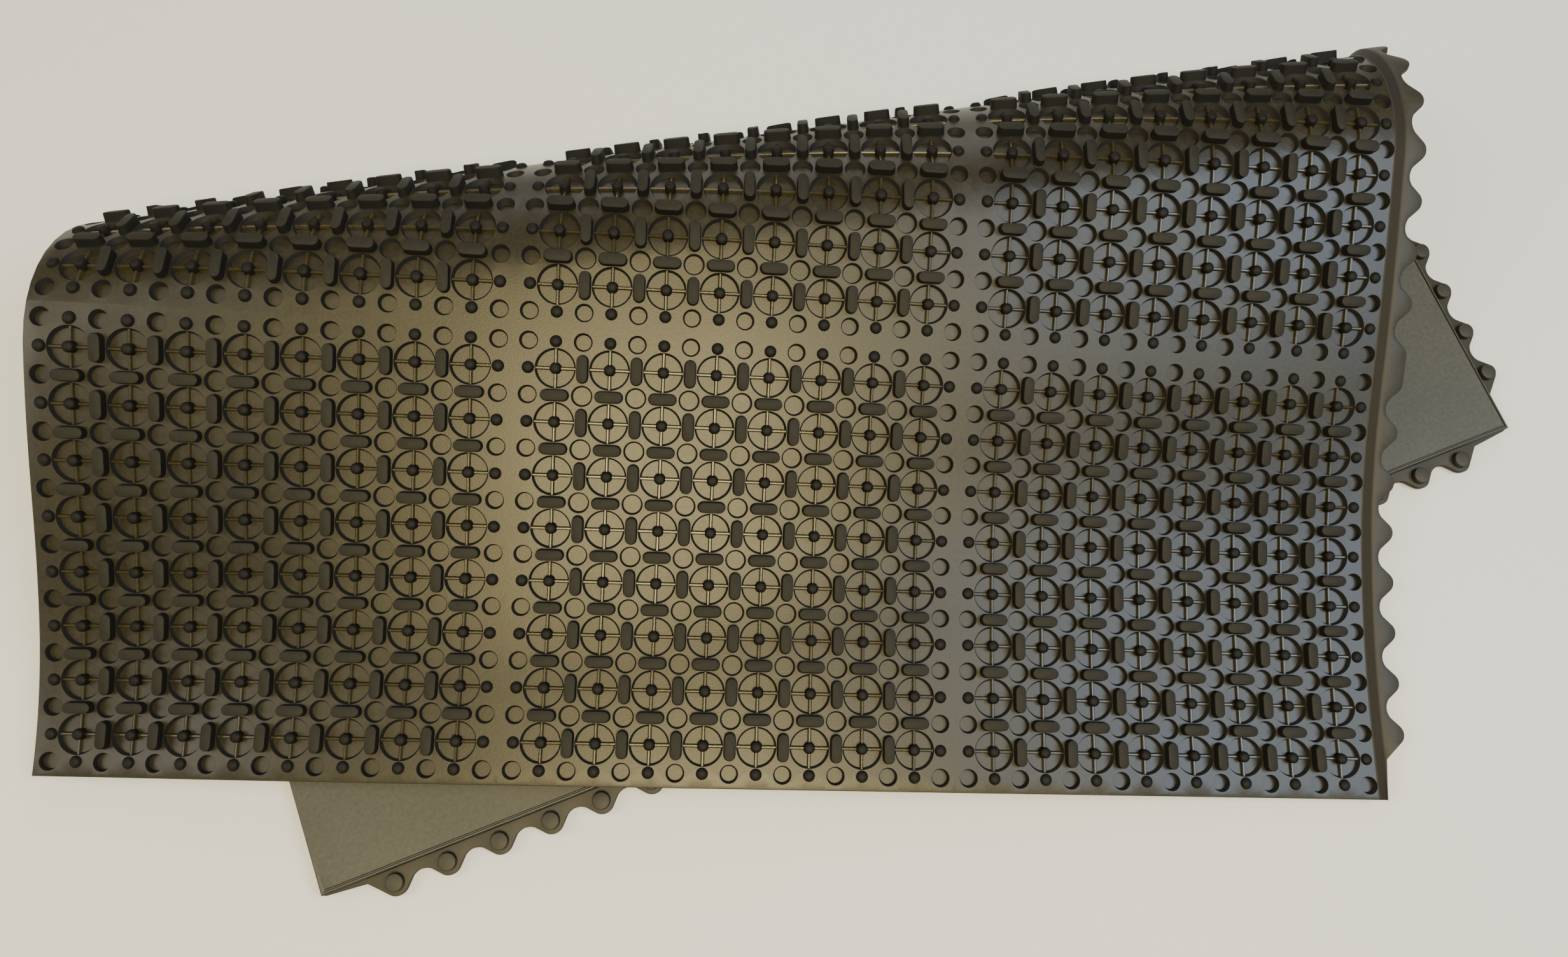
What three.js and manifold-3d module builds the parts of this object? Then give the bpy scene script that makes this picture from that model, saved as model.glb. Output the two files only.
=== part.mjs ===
// Interlocking rubber mat: one moulding of three by three panels with a smooth top, pads
// underneath and two toothed edges. It lies on the floor folded over once, a little askew,
// so that the upper layer shows its underside. Millimetres, +Z up, X along the fold.
import * as THREE from 'three';
import { mergeVertices } from 'three/addons/utils/BufferGeometryUtils.js';
import Module from 'manifold-3d';

const wasm = await Module();
wasm.setup();

// Body of the flat mat
const panelSide = 304.8;
const panelsPerSide = 3;
const webThickness = 6.5;
const padHeight = 6.2;
const bandWidth = 11.6;

// Grid of the moulding, which the teeth and knobs follow
const cellPitch = 35.67;
const cellsPerPanel = 8;

// Toothed tongue on the two joining edges, a step below the top
const stepDepth = 6;
const tongueThickness = 5;
const toothReach = 18;
const valleyReach = 7;
const toothTipRadius = 8;
const toothValleyRadius = 10.45;
const cornerReach = 0.6;
const cornerRunLength = 28;
const cornerRunReach = 3.3;
const rootInset = 3.7;
const rootOutset = 2.1;
const endGap = 0.4;

// Knobs on the tongue
const knobDiameter = 12;
const knobHeight = 4.5;
const knobReach = 8.8;
const knobSides = 10;

// Fold: skew of its axis to the panel lines, and the run of the sheet across it
const foldSkew = THREE.MathUtils.degToRad(11.15);
const apronSlope = THREE.MathUtils.degToRad(4.6);
const rampSlope = THREE.MathUtils.degToRad(18.3);
const heelLength = 112;
const rampLength = 158.7;
const crestRadius = 83;
const crestTurn = THREE.MathUtils.degToRad(75);
const loopRadius = 40.4;

// Droop of the upper layer: at its free corner and at the middle of its toothed edge
const cornerDroop = 21;
const cornerDroopSpread = [116, 225];
const edgeDroop = 20;
const edgeDroopPlace = 108;
const edgeDroopSpread = [267, 161];
const droopEnd = 330;
const droopFade = 200;

// Fineness of the bent surface
const foldStep = 12.5;
const flatStep = 75;
const arcSteps = 3;

const side = panelSide * panelsPerSide;
const cellMargin = (panelSide - cellsPerPanel * cellPitch) / 2;

// Turns a closed three.js geometry into a solid that can be joined and cut
function solidOf(geometry) {
  const bare = new THREE.BufferGeometry();
  bare.setAttribute('position', geometry.getAttribute('position'));
  if (geometry.index) bare.setIndex(geometry.index);
  const merged = mergeVertices(bare, 1e-4);
  return new wasm.Manifold(new wasm.Mesh({
    numProp: 3,
    vertProperties: new Float32Array(merged.getAttribute('position').array),
    triVerts: new Uint32Array(merged.index.array),
  }));
}

// Places of the cell corners along one side, where the knobs stand
function knobPlaces() {
  const places = [];
  for (let panel = 0; panel < panelsPerSide; panel += 1) {
    for (let cell = 0; cell <= cellsPerPanel; cell += 1) {
      places.push(panel * panelSide + cellMargin + cell * cellPitch);
    }
  }
  return places.slice(1, -1);
}

// Points of an arc about a centre, from one angle to another
function arc(x, y, radius, from, to, steps) {
  const points = [];
  for (let i = 0; i <= steps; i += 1) {
    const angle = from + ((to - from) * i) / steps;
    points.push([x + radius * Math.cos(angle), y + radius * Math.sin(angle)]);
  }
  return points;
}

// Steepness of the straight flank between a tooth's round tip and the round valley
function flankAngle() {
  const across = cellPitch / 2;
  const radii = toothTipRadius + toothValleyRadius;
  const drop = radii - (toothReach - valleyReach);
  return Math.asin(Math.min(1, radii / Math.hypot(across, drop))) - Math.atan2(drop, across);
}

// Wavy edge of the tongue, as pairs of the place along the side and the reach beyond it.
// Where two panels meet, two teeth stand close together and are joined into a wide one.
function tongueOutline() {
  const flank = flankAngle();
  const up = Math.PI / 2;
  const tipY = toothReach - toothTipRadius;
  const valleyY = valleyReach + toothValleyRadius;
  const places = knobPlaces();
  const points = [[endGap, cornerReach], [cornerRunLength, cornerRunReach]];
  places.forEach((x, i) => {
    const joinedBefore = i > 0 && x - places[i - 1] < 0.75 * cellPitch;
    const joinedAfter = i < places.length - 1 && places[i + 1] - x < 0.75 * cellPitch;
    const from = joinedBefore ? up : up + flank;
    const to = joinedAfter ? up : up - flank;
    points.push(...arc(x, tipY, toothTipRadius, from, to, arcSteps));
    if (i < places.length - 1 && !joinedAfter) {
      const middle = x + cellPitch / 2;
      points.push(...arc(middle, valleyY, toothValleyRadius, -up - flank, -up + flank, arcSteps));
    }
  });
  points.push([side - cornerRunLength, cornerRunReach], [side - endGap, cornerReach]);
  return points.filter(([x], i) => i === 0 || x - points[i - 1][0] > 0.01);
}

// Tongue along one side: at each place a four-cornered section, whose root slopes up
// out of the web's underside. Toward the mat's corners the root narrows with the tongue.
function tongueGeometry(place) {
  const under = stepDepth + tongueThickness;
  const stations = tongueOutline().map(([x, reach]) => [
    place(x, -rootInset, stepDepth),
    place(x, reach, stepDepth),
    place(x, reach, under),
    place(x, Math.min(rootOutset, reach - cornerReach / 2), under),
  ]);
  const last = 4 * (stations.length - 1);
  const faces = [0, 2, 1, 0, 3, 2, last, last + 1, last + 2, last, last + 2, last + 3];
  for (let i = 0; i < last; i += 4) {
    for (let k = 0; k < 4; k += 1) {
      const next = (k + 1) % 4;
      faces.push(i + k, i + 4 + next, i + 4 + k, i + k, i + next, i + 4 + next);
    }
  }
  const geometry = new THREE.BufferGeometry();
  geometry.setAttribute('position', new THREE.Float32BufferAttribute(stations.flat(2), 3));
  geometry.setIndex(faces);
  return geometry;
}

// Knobs of one side, sunk a little into the tongue
function knobGeometries(place) {
  const sunk = tongueThickness / 3;
  return knobPlaces().map((x) => {
    const radius = knobDiameter / 2;
    const knob = new THREE.CylinderGeometry(radius, radius, knobHeight + sunk, knobSides);
    knob.rotateX(Math.PI / 2);
    return knob.translate(...place(x, knobReach, stepDepth + (sunk - knobHeight) / 2));
  });
}

// The two joining sides meet at the corner farthest from the free one
const joiningSides = [
  (x, reach, h) => [x, side + reach, h],
  (x, reach, h) => [side + reach, side - x, h],
];

// Place along the fold and distance across it, for a point of the flat mat
function acrossFold([u, v]) {
  return v * Math.cos(foldSkew) - u * Math.sin(foldSkew);
}

function alongFold([u, v]) {
  return u * Math.cos(foldSkew) + v * Math.sin(foldSkew);
}

// The sheet's run across the fold, as stretches that each turn evenly
const loopTurn = Math.PI + rampSlope - crestTurn;
const stretches = [
  { length: heelLength, turn: rampSlope - apronSlope },
  { length: rampLength, turn: 0 },
  { length: crestRadius * crestTurn, turn: -crestTurn },
  { length: loopRadius * loopTurn, turn: -loopTurn },
];
const runLength = stretches.reduce((sum, { length }) => sum + length, 0);

// Middle of the web at a distance across the fold: its place, height and slope
function foldRun(distance) {
  let slope = apronSlope;
  let y = Math.min(distance, 0) * Math.cos(slope);
  let z = Math.min(distance, 0) * Math.sin(slope);
  let rest = Math.max(distance, 0);
  for (const { length, turn } of stretches) {
    const used = Math.min(rest, length);
    const bend = (turn * used) / length;
    if (turn === 0) {
      y += used * Math.cos(slope);
      z += used * Math.sin(slope);
    } else {
      y += (length / turn) * (Math.sin(slope + bend) - Math.sin(slope));
      z += (length / turn) * (Math.cos(slope) - Math.cos(slope + bend));
    }
    slope += bend;
    rest -= used;
  }
  return { y: y - rest, z, slope };
}

// How far the upper layer droops at a point of the flat mat
function droop([u, v]) {
  const fade = THREE.MathUtils.smoothstep(droopEnd - acrossFold([u, v]), 0, droopFade);
  const corner = (u / cornerDroopSpread[0]) ** 2 + (v / cornerDroopSpread[1]) ** 2;
  const edgeAlong = (v - edgeDroopPlace) / edgeDroopSpread[1];
  const edge = ((u - side) / edgeDroopSpread[0]) ** 2 + edgeAlong ** 2;
  return fade * (cornerDroop * Math.exp(-corner) + edgeDroop * Math.exp(-edge));
}

// The lower layer stands on its pads
const lift = padHeight + webThickness / 2 - foldRun(runLength).z;

function folded(point) {
  const { y, z, slope } = foldRun(acrossFold(point));
  const out = point[2] - webThickness / 2;
  return [
    alongFold(point),
    y - out * Math.sin(slope),
    z + lift - droop(point) + out * Math.cos(slope),
  ];
}

// Splits a side into steps, short between the two ends of a zone and long elsewhere
function gridLines(zone) {
  const inset = bandWidth / 2;
  const panelLines = Array.from({ length: panelsPerSide }, (_, i) => i * panelSide);
  const fieldLines = panelLines.flatMap((x) => [x + inset, x + panelSide - inset]);
  const breaks = [0, side, ...zone, ...fieldLines];
  breaks.sort((a, b) => a - b);
  const lines = [0];
  for (let i = 1; i < breaks.length; i += 1) {
    const [from, to] = [breaks[i - 1], breaks[i]];
    const inZone = from >= zone[0] && to <= zone[1];
    const steps = Math.ceil((to - from) / (inZone ? foldStep : flatStep));
    for (let k = 1; k <= steps; k += 1) lines.push(from + ((to - from) * k) / steps);
  }
  return lines;
}

// Whether a place along one side is within a panel's field of pads
function inField(x) {
  const place = x % panelSide;
  return place > bandWidth / 2 && place < panelSide - bandWidth / 2;
}

// Body of the mat as a grid of cells: the web, and each panel's field of pads as one
// raised block at the pads' full height
function bodyMesh() {
  const crestStart = heelLength + rampLength;
  const foldStart = crestStart / Math.cos(foldSkew);
  const foldEnd = (runLength + side * Math.sin(foldSkew)) / Math.cos(foldSkew);
  const columns = gridLines([0, 0]);
  const rows = gridLines([foldStart, foldEnd]);
  const levels = [0, webThickness, webThickness + padHeight];
  const index = (i, j, level) => (i * rows.length + j) * levels.length + level;
  const levelOf = (i, j) => {
    if (i < 0 || j < 0 || i > columns.length - 2 || j > rows.length - 2) return 0;
    const middle = [(columns[i] + columns[i + 1]) / 2, (rows[j] + rows[j + 1]) / 2];
    return middle.every(inField) ? 2 : 1;
  };
  const points = columns.flatMap((u) => rows.flatMap((v) => levels.map((h) => [u, v, h])));
  const faces = [];
  const quad = (a, b, c, d) => faces.push([a, b, c], [a, c, d]);
  // Walls between a cell and the one before it, one level at a time
  const walls = (own, before, from, to) => {
    for (let k = Math.min(own, before); k < Math.max(own, before); k += 1) {
      const wall = [index(...from, k), index(...from, k + 1), index(...to, k + 1), index(...to, k)];
      quad(...(own > before ? wall : wall.reverse()));
    }
  };
  for (let i = 0; i < columns.length; i += 1) {
    for (let j = 0; j < rows.length; j += 1) {
      const own = levelOf(i, j);
      walls(own, levelOf(i - 1, j), [i, j], [i, j + 1]);
      walls(own, levelOf(i, j - 1), [i + 1, j], [i, j]);
      if (own > 0) {
        const corners = [[i, j], [i + 1, j], [i + 1, j + 1], [i, j + 1]];
        quad(...corners.map((corner) => index(...corner, own)));
        quad(...corners.reverse().map((corner) => index(...corner, 0)));
      }
    }
  }
  return { points, faces };
}

// Bends a flat solid, given by its points and faces, by moving the points
function foldedSolid({ points, faces }) {
  const geometry = new THREE.BufferGeometry();
  geometry.setAttribute('position', new THREE.Float32BufferAttribute(points.flatMap(folded), 3));
  geometry.setIndex(faces.flat());
  return solidOf(geometry);
}

// Points and faces of a flat solid, as plain lists
function meshOf(solid) {
  const { vertProperties, triVerts } = solid.getMesh();
  const row = (list, i) => [...list.slice(3 * i, 3 * i + 3)];
  const rows = (list) => Array.from({ length: list.length / 3 }, (_, i) => row(list, i));
  return { points: rows(vertProperties), faces: rows(triVerts) };
}

function matGeometry() {
  let mat = foldedSolid(bodyMesh());
  for (const place of joiningSides) {
    for (const piece of [tongueGeometry(place), ...knobGeometries(place)]) {
      mat = mat.add(foldedSolid(meshOf(solidOf(piece))));
    }
  }
  const { vertProperties, triVerts } = mat.getMesh();
  const geometry = new THREE.BufferGeometry();
  geometry.setAttribute('position', new THREE.Float32BufferAttribute(vertProperties, 3));
  geometry.setIndex(new THREE.Uint32BufferAttribute(triVerts, 1));
  geometry.computeBoundingBox();
  const { min, max } = geometry.boundingBox;
  geometry.translate(-(min.x + max.x) / 2, -(min.y + max.y) / 2, -min.z);
  geometry.computeVertexNormals();
  return geometry;
}

const rubber = new THREE.MeshStandardMaterial({ color: 0x45433a, roughness: 0.8, metalness: 0 });
const mat = new THREE.Mesh(matGeometry(), rubber);
mat.name = 'mat';

const group = new THREE.Group();
group.add(mat);

export default group;
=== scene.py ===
from math import asin, atan2, cos, hypot, pi, radians, sin

import bpy
import numpy as np
from mathutils import Matrix, Vector
from mathutils.geometry import delaunay_2d_cdt


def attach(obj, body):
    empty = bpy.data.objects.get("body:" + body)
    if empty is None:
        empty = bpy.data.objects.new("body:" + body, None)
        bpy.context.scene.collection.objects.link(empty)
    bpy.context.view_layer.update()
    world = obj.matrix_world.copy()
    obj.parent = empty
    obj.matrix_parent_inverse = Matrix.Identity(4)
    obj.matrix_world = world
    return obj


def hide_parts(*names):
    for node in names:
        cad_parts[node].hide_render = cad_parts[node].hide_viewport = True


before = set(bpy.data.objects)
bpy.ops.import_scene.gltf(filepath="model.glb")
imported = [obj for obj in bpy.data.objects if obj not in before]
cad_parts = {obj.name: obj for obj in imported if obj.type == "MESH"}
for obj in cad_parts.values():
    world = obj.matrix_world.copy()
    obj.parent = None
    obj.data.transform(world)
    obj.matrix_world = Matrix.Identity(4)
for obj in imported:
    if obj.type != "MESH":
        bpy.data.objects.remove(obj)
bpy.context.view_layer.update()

# Camera. It looks down on the mat from about 0.8 m, a little in front of the middle, and
# its place, turn and lens were fitted to the panel lines, rings and edges that show.
lens = bpy.data.cameras.new("camera")
lens.sensor_width = 36
lens.lens = 25.55
camera = bpy.data.objects.new("camera", lens)
right = Vector((0.98351, -0.17393, 0.04954))
up = Vector((0.15764, 0.95878, 0.23643))
back = Vector((-0.08862, -0.22472, 0.97039))
stand = Vector((-0.08948, -0.16055, 0.795))
camera.matrix_world = Matrix.Translation(stand) @ Matrix((right, up, back)).transposed().to_4x4()
bpy.context.scene.collection.objects.link(camera)
bpy.context.scene.camera = camera

# The sheet: one moulding of black rubber with a smooth top, ring recesses and round
# sockets underneath, three panels each way. It lies folded over once, a little askew,
# so that the upper layer shows its underside. Sizes are in millimetres.
PANEL = 304.8
PANELS = 3
SIDE = PANEL * PANELS
WEB = 6.5
PAD_RISE = 6.2
PITCH = 35.67
CELLS = 8
MARGIN = (PANEL - CELLS * PITCH) / 2
SKEW = radians(11.15)
APRON_SLOPE = radians(4.6)
RAMP_SLOPE = radians(18.3)
CREST_TURN = radians(75)
LOOP_TURN = pi + RAMP_SLOPE - CREST_TURN
HEEL_RUN = 112
RAMP_RUN = 158.7
CREST_RADIUS = 83
LOOP_RADIUS = 40.4
# Run of the sheet across the fold: length of each stretch and how far it turns
STRETCHES = (
    (HEEL_RUN, RAMP_SLOPE - APRON_SLOPE),
    (RAMP_RUN, 0),
    (CREST_RADIUS * CREST_TURN, -CREST_TURN),
    (LOOP_RADIUS * LOOP_TURN, -LOOP_TURN),
)
FOLD_RUN = sum(length for length, _ in STRETCHES)
# Where the upper layer droops: how deep, its middle along and across, and its two spreads
DROOPS = (
    (21, 0, 0, 116, 225),
    (20, SIDE, 108, 267, 161),
)
# Both fade out over this run, before the crest of the fold ends
FADE_END = 330
FADE_RUN = 200


def run_across(distance):
    """Place, height and slope of the middle of the web at a distance across the fold."""
    slope = np.full(distance.shape, APRON_SLOPE)
    y = np.minimum(distance, 0) * cos(APRON_SLOPE)
    z = np.minimum(distance, 0) * sin(APRON_SLOPE)
    rest = np.maximum(distance, 0)
    for length, turn in STRETCHES:
        used = np.minimum(rest, length)
        bend = turn * used / length
        if turn == 0:
            y = y + used * np.cos(slope)
            z = z + used * np.sin(slope)
        else:
            y = y + length / turn * (np.sin(slope + bend) - np.sin(slope))
            z = z + length / turn * (np.cos(slope) - np.cos(slope + bend))
        slope = slope + bend
        rest = rest - used
    return y - rest, z, slope


def droop(u, v, across):
    """How far the upper layer hangs at its free corner and along its toothed edge."""
    fade = np.clip((FADE_END - across) / FADE_RUN, 0, 1)
    fade = fade * fade * (3 - 2 * fade)
    hang = 0
    for depth, middle_u, middle_v, spread_u, spread_v in DROOPS:
        off_u, off_v = (u - middle_u) / spread_u, (v - middle_v) / spread_v
        hang = hang + depth * np.exp(-(off_u**2) - off_v**2)
    return fade * hang


fold_end_y, fold_end_z, _ = run_across(np.array([FOLD_RUN]))
LIFT = PAD_RISE + WEB / 2 - fold_end_z[0]
# Puts the middle of the folded mat's footprint at the origin
SHIFT = (-541.48, -97.55)


def laid(points):
    """Points of the flat mat (along, across, depth below its top) as they lie, in metres."""
    u, v, depth = points.T
    across = v * cos(SKEW) - u * sin(SKEW)
    along = u * cos(SKEW) + v * sin(SKEW)
    y, z, slope = run_across(across)
    out = depth - WEB / 2
    x = along + SHIFT[0]
    y = y - out * np.sin(slope) + SHIFT[1]
    z = z + LIFT - droop(u, v, across) + out * np.cos(slope)
    return np.stack([x, y, z], axis=1) / 1000


def joined(parts):
    """Several (points, faces) joined into one."""
    points, faces, start = [], [], 0
    for part_points, part_faces in parts:
        points.append(part_points)
        faces.extend([i + start for i in face] for face in part_faces)
        start += len(part_points)
    return np.concatenate(points), faces


def repeated(part, places):
    """The same (points, faces) at each place on the mat."""
    points, faces = part
    moved = [points + np.array([u, v, 0]) for u, v in places]
    return joined([(copy, faces) for copy in moved])


def rings_closed(rows, base=True):
    """Faces over rows of points, each row a closed ring, ending in a cap."""
    around = len(rows[0])
    faces = []
    for k in range(len(rows) - 1):
        for i in range(around):
            j = (i + 1) % around
            faces.append([k * around + i, k * around + j,
                          (k + 1) * around + j, (k + 1) * around + i])
    last = (len(rows) - 1) * around
    faces.append([last + i for i in range(around)])
    if base:
        faces.append(list(reversed(range(around))))
    return np.concatenate(rows), faces


def circle(radius, depth, steps):
    """A ring of points at one depth."""
    angle = np.arange(steps) * 2 * pi / steps
    x, y = radius * np.cos(angle), radius * np.sin(angle)
    return np.stack([x, y, np.full(steps, depth)], axis=1)


# Edges that turn by more than this are arrises and stay sharp
SHARP_ANGLE = radians(38)


def piece(name, part, finish):
    """A mesh piece of the mat: laid in its fold, smooth but for its arrises."""
    points, faces = part
    mesh = bpy.data.meshes.new(name)
    mesh.from_pydata(laid(points), [], faces)
    # The flat place drives the patterns, so that they bend with the rubber, and level faces
    # are told from walls: dust lies only on the level ones, and the walls are left bare and
    # near black, which is painted shade on them
    flat = mesh.attributes.new("flat_place", "FLOAT_VECTOR", "POINT")
    flat.data.foreach_set("vector", points.astype(np.float32).ravel())
    level = mesh.attributes.new("level", "FLOAT", "FACE")
    corners = [points[face[:4]] for face in faces]
    normal = np.array([np.cross(c[1] - c[0], c[2] - c[0]) for c in corners])
    normal /= np.maximum(np.linalg.norm(normal, axis=1, keepdims=True), 1e-9)
    level.data.foreach_set("value", np.abs(normal[:, 2]).astype(np.float32))
    mesh.shade_smooth()
    mesh.set_sharp_from_angle(angle=SHARP_ANGLE)
    made = bpy.data.objects.new(name, mesh)
    bpy.context.scene.collection.objects.link(made)
    mesh.materials.append(finish)
    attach(made, "root")
    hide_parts("mat")
    return made


def linear(hex_colour):
    """An sRGB colour such as "#4a473c" as linear RGBA."""
    parts = [int(hex_colour[i : i + 2], 16) / 255 for i in (1, 3, 5)]
    return [c / 12.92 if c <= 0.04045 else ((c + 0.055) / 1.055) ** 2.4 for c in parts] + [1]


def node(tree, kind, links=(), **settings):
    """Adds a node: settings are its properties, links its sockets' values or sources."""
    added = tree.nodes.new(kind)
    for name, value in settings.items():
        setattr(added, name, value)
    for socket, value in dict(links).items():
        if isinstance(value, bpy.types.NodeSocket):
            tree.links.new(value, added.inputs[socket])
        else:
            added.inputs[socket].default_value = value
    return added


# Moulded rubber, underside: black rubber with a thin skin of mould release, which gives
# the web a satin sheen, and a film of pale dust on every level face but not on the walls.
# The walls keep the bare near-black colour, which is partly painted shade: it darkens the
# hollows and the sides of pads and studs.
WALL_ROUGHNESS = 0.75
LEVEL_BLEND = 0.23


def moulded_rubber(name, bare_and_wall_shade, dust_and_rib_highlight, patch, roughness, dust_amount, shine=0.5, dust_and_shade_split=0.75):
    """Rubber with dust on faces more level than dust_and_shade_split, and painted shade
    on the bare, near-black rest: below 0, dust on walls too.
    """
    material = bpy.data.materials.new(name)
    material.use_nodes = True
    tree = material.node_tree
    shader = tree.nodes["Principled BSDF"]
    shader.inputs["IOR"].default_value = 1.52
    shader.inputs["Specular IOR Level"].default_value = shine
    place = node(tree, "ShaderNodeAttribute", attribute_name="flat_place").outputs["Vector"]
    level = node(tree, "ShaderNodeAttribute", attribute_name="level").outputs["Fac"]
    # Patches of dust about 120 mm wide, and specks about 3 mm wide
    wide = node(tree, "ShaderNodeTexNoise", {
        "Vector": place, "Scale": 1 / 120, "Detail": 4, "Roughness": 0.6})
    speck = node(tree, "ShaderNodeTexNoise", {
        "Vector": place, "Scale": 1 / 3, "Detail": 3, "Roughness": 0.65})
    dust_and_wall_shade = node(tree, "ShaderNodeMapRange", {
        "Value": level, "From Min": dust_and_shade_split, "From Max": dust_and_shade_split + LEVEL_BLEND})
    amount = node(tree, "ShaderNodeMapRange", {
        "Value": wide.outputs["Fac"], "From Min": 0.3, "From Max": 0.7,
        "To Min": 0.45 * dust_amount, "To Max": dust_amount})
    dust_and_shade_film = node(tree, "ShaderNodeMath", {
        0: dust_and_wall_shade.outputs["Result"], 1: amount.outputs["Result"]}, operation="MULTIPLY")
    flecks = node(tree, "ShaderNodeMapRange", {
        "Value": speck.outputs["Fac"], "From Min": 0.35, "From Max": 0.7,
        "To Min": 0.75, "To Max": 1.2})
    dust_and_shade_film = node(tree, "ShaderNodeMath", {
        0: dust_and_shade_film.outputs["Value"], 1: flecks.outputs["Result"]},
        operation="MULTIPLY", use_clamp=True)
    hue = node(tree, "ShaderNodeMix", {
        "Factor": wide.outputs["Fac"], "A": linear(dust_and_rib_highlight), "B": linear(patch)},
        data_type="RGBA")
    # Where there is no dust the bare near-black colour shows: on the walls it is painted shade.
    colour = node(tree, "ShaderNodeMix", {
        "Factor": dust_and_shade_film.outputs["Value"], "A": linear(bare_and_wall_shade), "B": hue.outputs["Result"]},
        data_type="RGBA")
    rough = node(tree, "ShaderNodeMapRange", {
        "Value": dust_and_shade_film.outputs["Value"], "From Min": 0, "From Max": 1,
        "To Min": roughness[0], "To Max": roughness[1]})
    # The walls of pads and hollows are drawn off the mould and stay dull
    rough = node(tree, "ShaderNodeMix", {
        "Factor": dust_and_wall_shade.outputs["Result"], "A": WALL_ROUGHNESS, "B": rough.outputs["Result"]},
        data_type="FLOAT")
    # The skin is slightly uneven, about 1.2 mm from hollow to hollow
    skin = node(tree, "ShaderNodeTexNoise", {"Vector": place, "Scale": 1 / 1.2, "Detail": 2})
    bump = node(tree, "ShaderNodeBump", {
        "Height": skin.outputs["Fac"], "Strength": 0.25, "Distance": 0.0002})
    tree.links.new(colour.outputs["Result"], shader.inputs["Base Color"])
    tree.links.new(rough.outputs["Result"], shader.inputs["Roughness"])
    tree.links.new(bump.outputs["Normal"], shader.inputs["Normal"])
    return material


web_rubber = moulded_rubber(
    "satin_rubber_web", "#0a0905", "#484124", "#3a3520", (0.33, 0.47), 0.64)
# The smooth side has a fine pebbled skin and is greyer, with more dust on it
top_rubber = moulded_rubber(
    "pebbled_rubber_top", "#1b1a14", "#615f52", "#434338", (0.42, 0.58), 0.95)

EDGE_STEPS = 24
RING_RADIUS = 13.5
RING_DEPTH = 3.9
SOCKET_RADIUS = 7.1
SOCKET_DEPTH = 3.9
RIM_SOCKET_RADIUS = 6.2
RIM_SOCKET_DEPTH = 4.9
RING_STEPS = 40
SOCKET_STEPS = 28
# Where the lines of sockets run, and the middles between them, on which the rings sit
lines = [MARGIN + i * PITCH for i in range(CELLS + 1)]
middles = [MARGIN + (i + 0.5) * PITCH for i in range(CELLS)]
ring_places = [(u, v) for u in middles for v in middles]
socket_places = [(u, v) for u in lines for v in lines]


def hollow(radius, depth, steps, draft):
    """A round recess from its rim down: eased arris, drafted wall, filleted foot, floor."""
    floor = WEB - depth
    arris, fillet = 0.15, 0.75
    return rings_closed([
        circle(radius, WEB, steps),
        circle(radius - arris, WEB - 0.2, steps),
        circle(radius - arris - draft, floor + 0.6, steps),
        circle(radius - fillet - draft, floor, steps),
        circle(0.45 * radius, floor, steps),
    ], base=False)


def socket_shape(u, v):
    """Radius, depth, steps and draft: the sockets of a panel's border are the narrower ones."""
    if min(u, v) < MARGIN + 1 or max(u, v) > PANEL - MARGIN - 1:
        return RIM_SOCKET_RADIUS, RIM_SOCKET_DEPTH, SOCKET_STEPS, 0.5
    return SOCKET_RADIUS, SOCKET_DEPTH, SOCKET_STEPS, 0.45


# The rims are many-sided, so just inside the circle counts as the web
INSIDE_RIM = 0.995


def panel_underside():
    """One panel's underside: the web pierced by its hollows, and the hollows."""
    hollows = []
    for place in ring_places:
        hollows.append(repeated(hollow(RING_RADIUS, RING_DEPTH, RING_STEPS, 0.6), [place]))
    for place in socket_places:
        hollows.append(repeated(hollow(*socket_shape(*place)), [place]))
    step = PANEL / EDGE_STEPS
    border = [(i * step, 0) for i in range(EDGE_STEPS)]
    border += [(PANEL, i * step) for i in range(EDGE_STEPS)]
    border += [(PANEL - i * step, PANEL) for i in range(EDGE_STEPS)]
    border += [(0, PANEL - i * step) for i in range(EDGE_STEPS)]
    points, faces = joined([(np.array([(u, v, WEB) for u, v in border]), []), *hollows])
    loops = [list(range(len(border)))]
    start = len(border)
    for hollow_points, hollow_faces in hollows:
        around = len(hollow_faces[-1])
        loops.append(list(range(start, start + around)))
        start += len(hollow_points)
    kept = [i for loop in loops for i in loop]
    back_to = {i: n for n, i in enumerate(kept)}
    edges = [(back_to[loop[i - 1]], back_to[loop[i]]) for loop in loops for i in range(len(loop))]
    flat = [Vector(points[i][:2]) for i in kept]
    cut_points, _, triangles, came_from, _, _ = delaunay_2d_cdt(flat, edges, [], 0, 1e-4)
    rims = [(u, v, RING_RADIUS) for u, v in ring_places]
    rims += [(u, v, socket_shape(u, v)[0]) for u, v in socket_places]
    rim_u, rim_v, rim_radius = np.array(rims).T
    # A triangle with its middle inside a rim would cover a hollow
    for triangle in triangles:
        middle = sum((cut_points[i] for i in triangle), Vector((0, 0))) / 3
        if np.all(np.hypot(rim_u - middle.x, rim_v - middle.y) > rim_radius * INSIDE_RIM):
            faces.append([kept[came_from[i][0]] for i in triangle])
    return points, faces


# Rows round the sheet's edge from the underside to the top: how far in, and how deep
PLAIN_EDGE = ((0.7, WEB), (0.2, WEB - 0.2), (0, WEB - 0.7), (0, 0.8), (0.25, 0.25), (0.8, 0),
              (1.4, 0), (2.1, 0), (2.7, 0), (3.6, 0))
SEAM_EDGE = tuple((0, depth) for _, depth in PLAIN_EDGE)
# Above a tongue the top ends in a bead with a groove behind it
STEP_EDGE = ((0, WEB), (0, WEB - 0.2), (0, 6), (0.5, 0.8), (0.8, 0.25), (1.2, 0),
             (2.0, 0), (2.5, 0.9), (3.1, 0.9), (3.6, 0))


def close(place, line):
    """Whether a place is on a line of the sheet, whatever the rounding."""
    return abs(place - line) < 0.01


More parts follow.
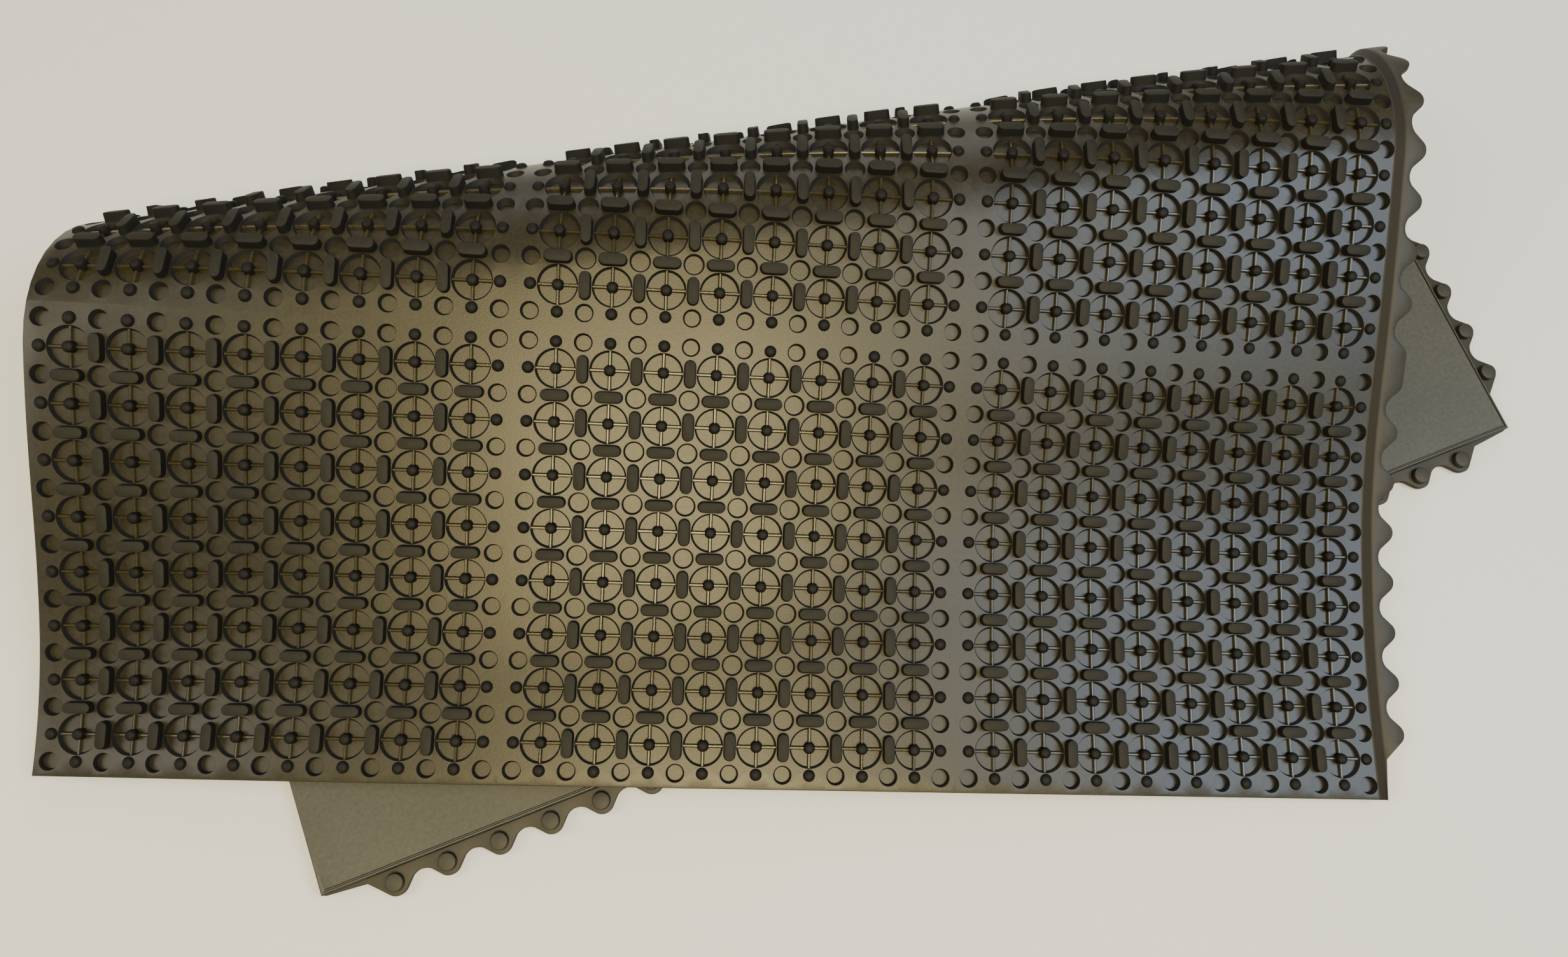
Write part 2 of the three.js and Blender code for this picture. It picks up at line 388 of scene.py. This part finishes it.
def at_edge(u, v, row, strip):
    """A point on the sheet's edge, moved in as its side's profile says."""
    low, high = strip * PANEL, (strip + 1) * PANEL
    first = PLAIN_EDGE if strip == 0 else SEAM_EDGE
    last = STEP_EDGE if strip == PANELS - 1 else SEAM_EDGE
    depth = PLAIN_EDGE[row][1]
    if close(u, 0):
        u = PLAIN_EDGE[row][0]
    elif close(u, SIDE):
        u, depth = SIDE - STEP_EDGE[row][0], STEP_EDGE[row][1]
    if close(v, low):
        v = low + first[row][0]
    elif close(v, high):
        v = high - last[row][0]
        if strip == PANELS - 1:
            depth = last[row][1]
    return u, v, depth


def sheet_strip(strip):
    """Three panels in a row, closed all round."""
    low = strip * PANEL
    panel_points, panel_faces = panel_underside()
    parts = []
    for column in range(PANELS):
        moved = panel_points + np.array([column * PANEL, low, 0])
        on_border = (panel_points[:, 2] == WEB) & (
            (panel_points[:, 0] % PANEL == 0) | (panel_points[:, 1] % PANEL == 0))
        for i in np.flatnonzero(on_border):
            u, v = moved[i][:2]
            if close(u, 0) or close(u, SIDE) or close(v, low) or close(v, low + PANEL):
                moved[i] = at_edge(*np.round(moved[i][:2], 6), 0, strip)
        parts.append((moved, panel_faces))
    step = PANEL / EDGE_STEPS
    across = [round(low + j * step, 6) for j in range(EDGE_STEPS + 1)]
    along = [round(i * step, 6) for i in range(EDGE_STEPS * PANELS + 1)]
    loop = [(u, across[0]) for u in along[:-1]] + [(along[-1], v) for v in across[:-1]]
    loop += [(u, across[-1]) for u in along[:0:-1]] + [(along[0], v) for v in across[:0:-1]]
    last_row = len(PLAIN_EDGE) - 1
    rows = [np.array([at_edge(u, v, row, strip) for u, v in loop]) for row in range(last_row + 1)]
    wall_points, wall_faces = rings_closed(rows, base=False)
    parts.append((wall_points, [face[::-1] for face in wall_faces[:-1]]))
    ring = set(loop)
    top = np.array([at_edge(u, v, last_row, strip) if (u, v) in ring else (u, v, 0)
                    for u in along for v in across])
    count = len(across)
    corners = [i * count + j for i in range(len(along) - 1) for j in range(count - 1)]
    parts.append((top, [[at, at + 1, at + count + 1, at + count] for at in corners]))
    points, faces = joined(parts)
    _, kept, same = np.unique(np.round(points, 3), axis=0, return_index=True, return_inverse=True)
    same = same.ravel()
    # Rows that fall together on a seam leave faces with fewer corners, or none
    faces = [list(dict.fromkeys(int(same[i]) for i in face)) for face in faces]
    return points[kept], [face for face in faces if len(face) > 2]


# Faces no deeper than this belong to the smooth top
TOP_SKIN = 1
for strip in range(PANELS):
    sheet = piece(f"sheet_strip_{strip + 1}", sheet_strip(strip), web_rubber)
    sheet.data.materials.append(top_rubber)
    depths = sheet.data.attributes["flat_place"].data
    for face in sheet.data.polygons:
        if max(depths[i].vector.z for i in face.vertices) < TOP_SKIN:
            face.material_index = 1

# Cross ribs: two low bars across the floor of every ring recess, moulded with it. They
# catch the light along their tops.
RIB_TOP = 1.9
RIB_FOOT = 2.7
RIB_RISE = 2.2


def rib(turned):
    """A bar across a recess: drafted walls, rounded shoulders and a narrow top."""
    floor = WEB - RING_DEPTH
    half, top = RIB_TOP / 2, floor + RIB_RISE
    right_half = [(RIB_FOOT / 2, floor - 0.4), (half + 0.1, top - 0.8),
                  (half - 0.15, top - 0.3), (half - 0.5, top)]
    left_half = [(-w, d) for w, d in right_half]
    profile = left_half[:1] + right_half + left_half[:0:-1]
    reach = RING_RADIUS - 0.35
    rows = []
    for x in np.linspace(-reach, reach, 5):
        rows.append(np.array([(x, -w, d) if not turned else (w, x, d) for w, d in profile]))
    points, faces = rings_closed(rows)
    return points, [face[::-1] for face in faces]


def over_mat(places):
    """Places in one panel, repeated over all the panels."""
    starts = [(i * PANEL, j * PANEL) for i in range(PANELS) for j in range(PANELS)]
    return [(u + start_u, v + start_v) for start_u, start_v in starts for u, v in places]


rings = over_mat(ring_places)
# The ribs' dust is lighter than the web's and covers their walls too: partly dust, partly painted
# highlight.
rib_rubber = moulded_rubber(
    "glossy_rubber_ribs", "#12100a", "#554d2c", "#48422a", (0.22, 0.3), 0.75, dust_and_shade_split=-0.3)
piece("cross_ribs", joined([repeated(rib(False), rings), repeated(rib(True), rings)]), rib_rubber)

# Studs: a tapered round stud in the middle of every ring, and one outside the first and
# last ring of each row. They stop short of the pads and have domed tops.
STUD_RISE = 2.5
stud_rubber = moulded_rubber(
    "matt_rubber_studs", "#0b0906", "#1c170d", "#19150d", (0.6, 0.7), 0.6, shine=0.28)


def stud(foot, steps=14):
    top = WEB + STUD_RISE
    return rings_closed([
        circle(4.3, foot - 0.4, steps),
        circle(3.9, foot + 0.6, steps),
        circle(3.7, top - 1.5, steps),
        circle(2.9, top - 0.5, steps),
        circle(1.5, top, steps),
    ])


near, far = MARGIN, PANEL - MARGIN
border_places = []
for middle in middles:
    border_places += [(middle, near), (middle, far), (near, middle), (far, middle)]
ring_studs = repeated(stud(WEB - RING_DEPTH), rings)
border_studs = repeated(stud(WEB), over_mat(border_places))
piece("studs", joined([ring_studs, border_studs]), stud_rubber)

# Pads: oblong feet between neighbouring rings, on which the mat stands. Their tops are
# flat, matt and grey with dust, and their ends are round.
PAD_LENGTH = 18.7
PAD_WIDTH = 7.7
PAD_END = 3.9
pad_rubber = moulded_rubber(
    "dusty_rubber_pads", "#0c0b08", "#302d20", "#2a281d", (0.6, 0.72), 0.85, shine=0.3)


def pad(turned):
    half, width = PAD_LENGTH / 2, PAD_WIDTH / 2
    curve = [(cos(a), sin(a)) for a in np.radians([-90, -62, -36, -12, 12, 36, 62, 90])]

    def outline(grow, depth):
        right_end = [(half - PAD_END + (PAD_END + grow) * x, (width + grow) * y)
                     for x, y in curve]
        both = right_end + [(-x, -y) for x, y in right_end]
        return np.array([(x, y, depth) if not turned else (-y, x, depth) for x, y in both])

    top = WEB + PAD_RISE
    return rings_closed([
        outline(0.4, WEB - 0.4),
        outline(0.08, WEB + 0.6),
        outline(-0.2, top - 0.8),
        outline(-0.4, top - 0.2),
        outline(-0.8, top),
    ])


pads_along = over_mat([(middle, line) for line in lines[1:-1] for middle in middles])
pads_across = over_mat([(line, middle) for line in lines[1:-1] for middle in middles])
all_pads = joined([repeated(pad(False), pads_along), repeated(pad(True), pads_across)])
piece("pads", all_pads, pad_rubber)

# Toothed tongues: on two edges the sheet steps down to a tongue with a wavy edge, which
# goes under the neighbouring mat. Its root slopes up out of the web's underside.
TONGUE_TOP = 6
TONGUE_UNDER = 11
TOOTH_REACH = 17.9
VALLEY_REACH = 7
TIP_RADIUS = 8
VALLEY_RADIUS = 10.45
CORNER_RUN = ((0.4, 0.6), (28, 3.3))
ROOT_REACH = -3.7
ARC_STEPS = 9
# Knobs nearer than this share one wide tooth
WIDE_TOOTH = 0.75 * PITCH
knob_places = [p * PANEL + MARGIN + i * PITCH for p in range(PANELS) for i in range(CELLS + 1)]
knob_places = knob_places[1:-1]


def tooth_edge():
    """Wavy edge of a tongue: places along the side, and reach beyond the sheet."""
    radii = TIP_RADIUS + VALLEY_RADIUS
    drop = radii - (TOOTH_REACH - VALLEY_REACH)
    flank = asin(min(1, radii / hypot(PITCH / 2, drop))) - atan2(drop, PITCH / 2)
    edge = list(CORNER_RUN)
    for n, x in enumerate(knob_places):
        before = n > 0 and x - knob_places[n - 1] < WIDE_TOOTH
        after = n < len(knob_places) - 1 and knob_places[n + 1] - x < WIDE_TOOTH
        start = pi / 2 if before else pi / 2 + flank
        stop = pi / 2 if after else pi / 2 - flank
        for a in np.linspace(start, stop, ARC_STEPS):
            edge.append((x + TIP_RADIUS * cos(a), TOOTH_REACH - TIP_RADIUS + TIP_RADIUS * sin(a)))
        if n < len(knob_places) - 1 and not after:
            for a in np.linspace(-pi / 2 - flank, -pi / 2 + flank, ARC_STEPS)[1:-1]:
                edge.append((x + PITCH / 2 + VALLEY_RADIUS * cos(a),
                             VALLEY_REACH + VALLEY_RADIUS + VALLEY_RADIUS * sin(a)))
    edge += [(SIDE - x, reach) for x, reach in reversed(CORNER_RUN)]
    return np.array(edge)


def tongue():
    """One tongue: its section carried along the wavy edge, as (place, reach, depth)."""
    edge = tooth_edge()
    along = np.gradient(edge, axis=0)
    along /= np.linalg.norm(along, axis=1, keepdims=True)
    outward = np.stack([-along[:, 1], along[:, 0]], axis=1)

    def rim(inset, depth):
        at = edge - outward * inset
        return np.column_stack([at, np.full(len(edge), depth)])

    def root(reach, depth):
        at = np.minimum(reach, edge[:, 1] - 0.3)
        return np.column_stack([edge[:, 0], at, np.full(len(edge), depth)])

    # Round the section: root, underside, the rounded rim, and back over the upper side
    rows = [
        root(ROOT_REACH, TONGUE_TOP - 0.3), root(ROOT_REACH, WEB + 0.05),
        root(-2.9, WEB + 0.45), root(1.4, TONGUE_UNDER - 0.5), root(2.4, TONGUE_UNDER),
        rim(1.0, TONGUE_UNDER), rim(0.35, TONGUE_UNDER - 0.3), rim(0.05, TONGUE_UNDER - 1),
        rim(0, TONGUE_TOP + 0.8), rim(0.3, TONGUE_TOP + 0.2), rim(0.9, TONGUE_TOP),
        root(ROOT_REACH, TONGUE_TOP),
    ]
    stations = np.stack(rows, axis=1)
    stations[:, :, 1] = np.minimum(stations[:, :, 1], edge[:, 1:2])
    count = len(rows)
    faces = []
    for i in range(len(edge) - 1):
        for k in range(count):
            n = (k + 1) % count
            faces.append([i * count + k, i * count + n, (i + 1) * count + n, (i + 1) * count + k])
    faces.append(list(reversed(range(count))))
    faces.append([(len(edge) - 1) * count + k for k in range(count)])
    return stations.reshape(-1, 3), faces


def to_far_side(points):
    return np.stack([points[:, 0], SIDE + points[:, 1], points[:, 2]], axis=1)


def to_right_side(points):
    return np.stack([SIDE + points[:, 1], SIDE - points[:, 0], points[:, 2]], axis=1)


tongue_rubber = moulded_rubber(
    "dusty_rubber_tongue", "#15120c", "#443e2c", "#3d3829", (0.5, 0.65), 0.75)
for name, placed in (("toothed_tongue_far", to_far_side), ("toothed_tongue_right", to_right_side)):
    points, faces = tongue()
    piece(name, (placed(points), faces), tongue_rubber)

# Knobs: flat-topped pegs moulded on the tongue's upper side, one at each tooth, which
# press up into the round sockets of the neighbouring mat.
KNOB_RADIUS = 6
KNOB_RISE = 4.5
KNOB_REACH = 8.8


def knob(steps=24):
    tip = TONGUE_TOP - KNOB_RISE
    points, faces = rings_closed([
        circle(6.15, TONGUE_TOP + 0.3, steps),
        circle(KNOB_RADIUS, TONGUE_TOP - 0.4, steps),
        circle(KNOB_RADIUS - 0.1, tip + 0.5, steps),
        circle(KNOB_RADIUS - 0.35, tip + 0.15, steps),
        circle(KNOB_RADIUS - 0.8, tip, steps),
    ])
    return points, [face[::-1] for face in faces]


pegs = repeated(knob(), [(x, KNOB_REACH) for x in knob_places])
both_sides = [(placed(pegs[0]), pegs[1]) for placed in (to_far_side, to_right_side)]
piece("knobs", joined(both_sides), tongue_rubber)

# Stage: a plain pale floor under the mat, and soft lamps. A warm one above and in front
# gives the web its sheen, and a cooler one on the right the grey end.
floor_mesh = bpy.data.meshes.new("floor")
floor_mesh.from_pydata([(-6, -6, 0), (6, -6, 0), (6, 6, 0), (-6, 6, 0)], [], [(0, 1, 2, 3)])
floor = bpy.data.objects.new("floor", floor_mesh)
bpy.context.scene.collection.objects.link(floor)
pale = bpy.data.materials.new("pale_floor")
pale.use_nodes = True
pale.node_tree.nodes["Principled BSDF"].inputs["Base Color"].default_value = linear("#f4f4f2")
pale.node_tree.nodes["Principled BSDF"].inputs["Roughness"].default_value = 0.9
floor_mesh.materials.append(pale)

# Each lamp's name, place, aim, size in metres, power in watts and tint
LAMPS = (
    ("lamp_above", (-0.12, -0.85, 2.25), (-0.05, 0, 0), 0.7, 56, "#ffe9aa"),
    ("lamp_right", (1.5, -0.35, 2.2), (0.3, 0, 0), 1.1, 42, "#c8dcf4"),
    ("lamp_left", (-2.4, 0.4, 2.2), (0, 0, 0), 1.8, 44, "#f4efe2"),
    ("lamp_behind", (0.4, 2.7, 1.5), (0, 0, 0), 1.8, 25, "#eef1f4"),
)
for name, place, aim, size, power, tint in LAMPS:
    light = bpy.data.lights.new(name, "AREA")
    light.size = size
    light.energy = power
    light.color = linear(tint)[:3]
    lamp = bpy.data.objects.new(name, light)
    lamp.location = place
    lamp.rotation_mode = "QUATERNION"
    lamp.rotation_quaternion = (Vector(aim) - Vector(place)).to_track_quat("-Z", "Y")
    bpy.context.scene.collection.objects.link(lamp)

world = bpy.data.worlds.new("studio")
world.use_nodes = True
world.node_tree.nodes["Background"].inputs["Color"].default_value = linear("#e8e5dc")
world.node_tree.nodes["Background"].inputs["Strength"].default_value = 0.28
bpy.context.scene.world = world
